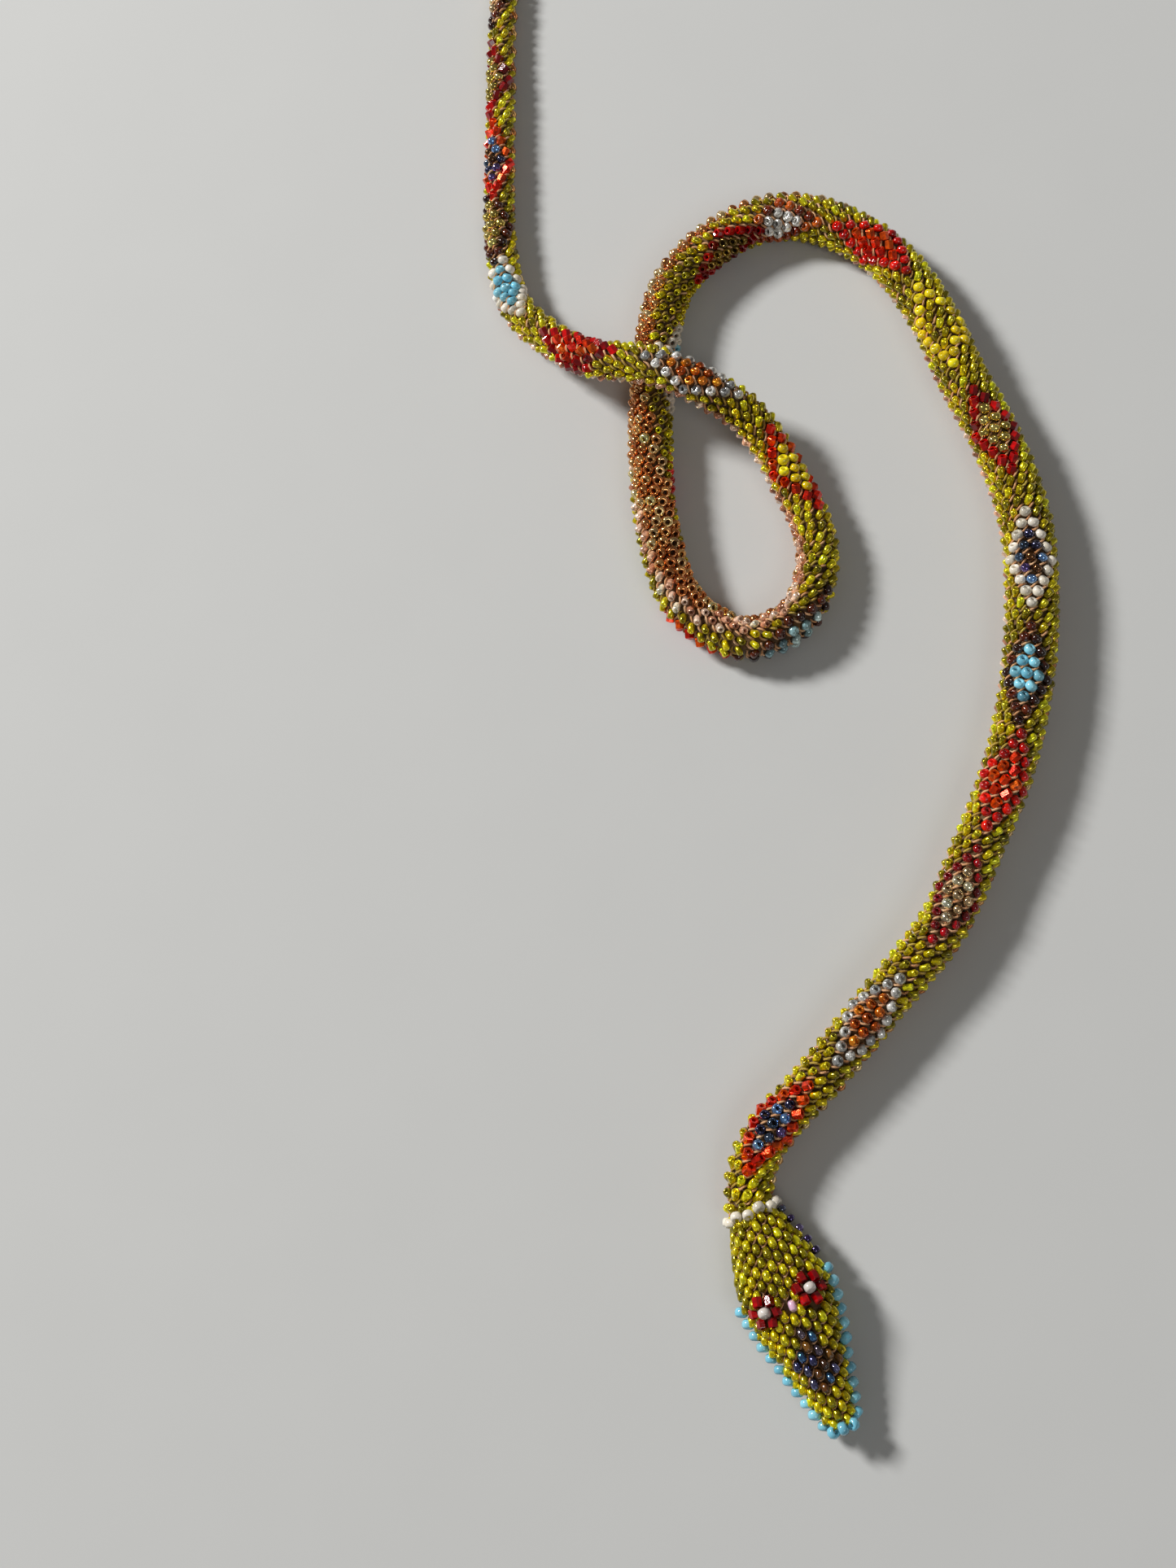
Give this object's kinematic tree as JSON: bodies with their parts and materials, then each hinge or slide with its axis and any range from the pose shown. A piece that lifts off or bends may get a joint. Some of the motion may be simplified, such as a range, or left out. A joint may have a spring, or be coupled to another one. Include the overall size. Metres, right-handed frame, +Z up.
{
  "type": "bead crochet snake",
  "caption": "Long snake of crocheted glass beads over a cotton cord with a stuffed beaded head, lying in a hook with one loop crossed over itself; bends along its length.",
  "frame": {"origin": "on the table under the middle of the whole snake's box", "axes": "+Y from the head's end towards the tail, +Z up from the table, +X to the right seen from above with the tail away"},
  "size_m": [0.1128, 0.4006, 0.0193],
  "materials": {
    "back_glass": "clear lime-yellow glass seed beads with a bright gloss, on tan thread",
    "belly_glass": "gold-lined and pale pink-tan glass seed beads, glossy",
    "mark_glass": "lozenges of red, orange, gold, turquoise and iris glass beads outlined in garnet",
    "turquoise_glass": "opaque turquoise glass beads, glossy",
    "purple_glass": "deep purple lustred glass beads",
    "petal_glass": "transparent dark red square-cut glass beads",
    "white_glass": "opaque white glass beads",
    "pink_glass": "pink and blue pearl-lustred glass beads",
    "iris_glass": "purple-brown iris glass beads with a metallic lustre",
    "pearl_glass": "pearl-lustred glass beads",
    "gold_glass": "gold-lined clear glass",
    "cord_cotton": "twisted cotton cord, matt",
    "thread_cotton": "peach-tan crochet thread, matt",
    "stuffing_fibre": "loose cotton fibre, matt"
  },
  "bodies": {
    "loop": {"loop_top_beadwork": "back_glass", "loop_left_beadwork": "back_glass", "loop_bottom_beadwork": "back_glass", "loop_right_beadwork": "back_glass", "crossing_beadwork": "back_glass", "loop_cord": "cord_cotton", "loop_marks": "mark_glass"},
    "head": {"head_top_beadwork": "back_glass", "head_under_beadwork": "belly_glass", "head_stuffing": "stuffing_fibre", "lip_beads_left": "turquoise_glass", "lip_beads_right": "turquoise_glass", "cheek_beads": "purple_glass", "eye_petals_left": "petal_glass", "eye_petals_right": "petal_glass", "eye_centre_left": "white_glass", "eye_centre_right": "white_glass", "brow_beads": "pink_glass", "nose_mark_beads": "iris_glass", "collar_pearls": "pearl_glass"},
    "neck": {"neck_beadwork": "back_glass", "neck_cord": "cord_cotton", "neck_mark": "mark_glass"},
    "fore_1": {"fore_1_beadwork": "back_glass", "fore_1_cord": "cord_cotton", "fore_1_marks": "mark_glass"},
    "fore_2": {"fore_2_beadwork": "back_glass", "fore_2_cord": "cord_cotton", "fore_2_marks": "mark_glass"},
    "fore_3": {"fore_3_beadwork": "back_glass", "fore_3_cord": "cord_cotton", "fore_3_marks": "mark_glass"},
    "fore_4": {"fore_4_beadwork": "back_glass", "fore_4_cord": "cord_cotton", "fore_4_marks": "mark_glass"},
    "tail_1": {"tail_1_beadwork": "back_glass", "tail_1_cord": "cord_cotton", "tail_1_marks": "mark_glass"},
    "tail_2": {"tail_2_beadwork": "back_glass", "tail_2_cord": "cord_cotton", "tail_2_marks": "mark_glass"},
    "tail_3": {"tail_3_beadwork": "back_glass", "tail_3_cord": "cord_cotton", "tail_3_marks": "mark_glass"},
    "tail_4": {"tail_4_beadwork": "back_glass", "tail_4_cord": "cord_cotton", "tail_4_marks": "mark_glass", "tail_tip_bead": "gold_glass", "tail_knot": "thread_cotton"}
  },
  "joints": [
    {"name": "bend_4", "type": "hinge", "parent": "loop", "child": "fore_4", "pos_m": [0.01778, 0.0308, 0.00447], "axis": [0, 0, 1], "range_deg": [-10, 25]},
    {"name": "bend_3", "type": "hinge", "parent": "fore_4", "child": "fore_3", "pos_m": [0.04078, -0.0052, 0.00464], "axis": [0, 0, 1], "range_deg": [-12, 25]},
    {"name": "bend_2", "type": "hinge", "parent": "fore_3", "child": "fore_2", "pos_m": [0.05078, -0.0537, 0.0048], "axis": [0, 0, 1], "range_deg": [-15, 25]},
    {"name": "bend_1", "type": "hinge", "parent": "fore_2", "child": "fore_1", "pos_m": [0.03878, -0.0977, 0.0045], "axis": [0, 0, 1], "range_deg": [-25, 25]},
    {"name": "bend_neck", "type": "hinge", "parent": "fore_1", "child": "neck", "pos_m": [0.00928, -0.1382, 0.0042], "axis": [0, 0, 1], "range_deg": [-25, 25]},
    {"name": "head_nod", "type": "hinge", "parent": "neck", "child": "head", "pos_m": [-0.00422, -0.1607, 0.004], "axis": [-0.926, -0.3776, 0], "range_deg": [-20, 35]},
    {"name": "bend_tail_1", "type": "hinge", "parent": "loop", "child": "tail_1", "pos_m": [-0.05222, 0.0493, 0.00301], "axis": [0, 0, 1], "range_deg": [-25, 25]},
    {"name": "bend_tail_2", "type": "hinge", "parent": "tail_1", "child": "tail_2", "pos_m": [-0.05222, 0.0883, 0.00273], "axis": [0, 0, 1], "range_deg": [-25, 25]},
    {"name": "bend_tail_3", "type": "hinge", "parent": "tail_2", "child": "tail_3", "pos_m": [-0.04772, 0.1278, 0.00245], "axis": [0, 0, 1], "range_deg": [-25, 25]},
    {"name": "bend_tail_4", "type": "hinge", "parent": "tail_3", "child": "tail_4", "pos_m": [-0.03122, 0.1663, 0.00218], "axis": [0, 0, 1], "range_deg": [-25, 25]}
  ]
}
